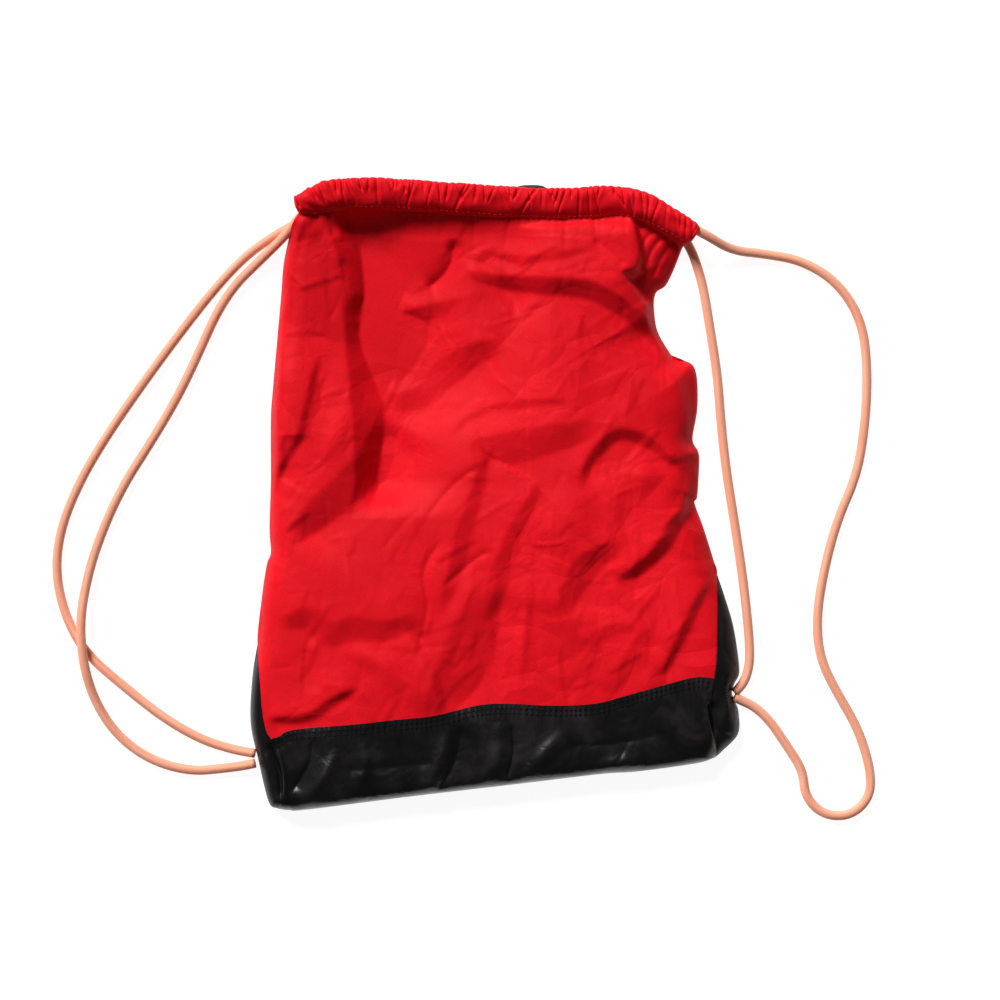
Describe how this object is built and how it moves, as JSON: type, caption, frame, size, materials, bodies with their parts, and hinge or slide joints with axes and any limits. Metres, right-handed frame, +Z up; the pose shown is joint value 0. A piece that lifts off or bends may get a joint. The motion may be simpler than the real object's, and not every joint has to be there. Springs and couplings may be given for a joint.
{
  "type": "stuff sack",
  "caption": "Flat drawstring sack of light nylon with a coated base band and two round cords that close the mouth and serve as shoulder straps.",
  "frame": {"origin": "centre of the sack's own footprint, without its cords, on the surface that it lies on", "axes": "+Y towards the mouth, +X across the sack to the right seen from above, +Z up out of the front panel"},
  "size_m": [0.6161, 0.4787, 0.028],
  "materials": {
    "red_nylon": "satin nylon, softly wrinkled",
    "coated_black": "semi-gloss coated cloth",
    "black_nylon": "satin nylon",
    "black_webbing": "ribbed webbing",
    "coral_cord": "smooth braided sheath",
    "red_thread": "polyester thread",
    "black_thread": "polyester thread"
  },
  "bodies": {
    "sack": {"front_panel": "red_nylon", "base_band_front": "coated_black", "side_gusset_left": "black_nylon", "side_gusset_right": "black_nylon", "back_panel": "black_nylon", "base_band_back": "coated_black", "side_seam_left": "black_nylon", "side_seam_right": "black_nylon", "back_channel": "black_nylon", "back_channel_stitching": "black_thread", "mouth_corner_tack_left": "red_thread", "mouth_corner_tack_right": "red_thread", "band_topstitch_upper": "black_thread", "band_topstitch_lower": "black_thread", "back_band_stitching": "black_thread", "hang_loop": "black_webbing", "hang_loop_tacks": "black_thread", "cord_tack_left": "black_thread", "cord_tack_right": "black_thread", "right_drawcord": "coral_cord", "left_drawcord": "coral_cord"},
    "mouth_front": {"front_channel": "red_nylon", "front_channel_stitching": "red_thread"}
  },
  "joints": [
    {"name": "mouth_open", "type": "hinge", "parent": "sack", "child": "mouth_front", "pos_m": [0, 0.075, 0.0255], "axis": [1, 0, 0], "range_deg": [0, 30], "deforming": ["front_panel", "right_drawcord", "left_drawcord"]}
  ]
}
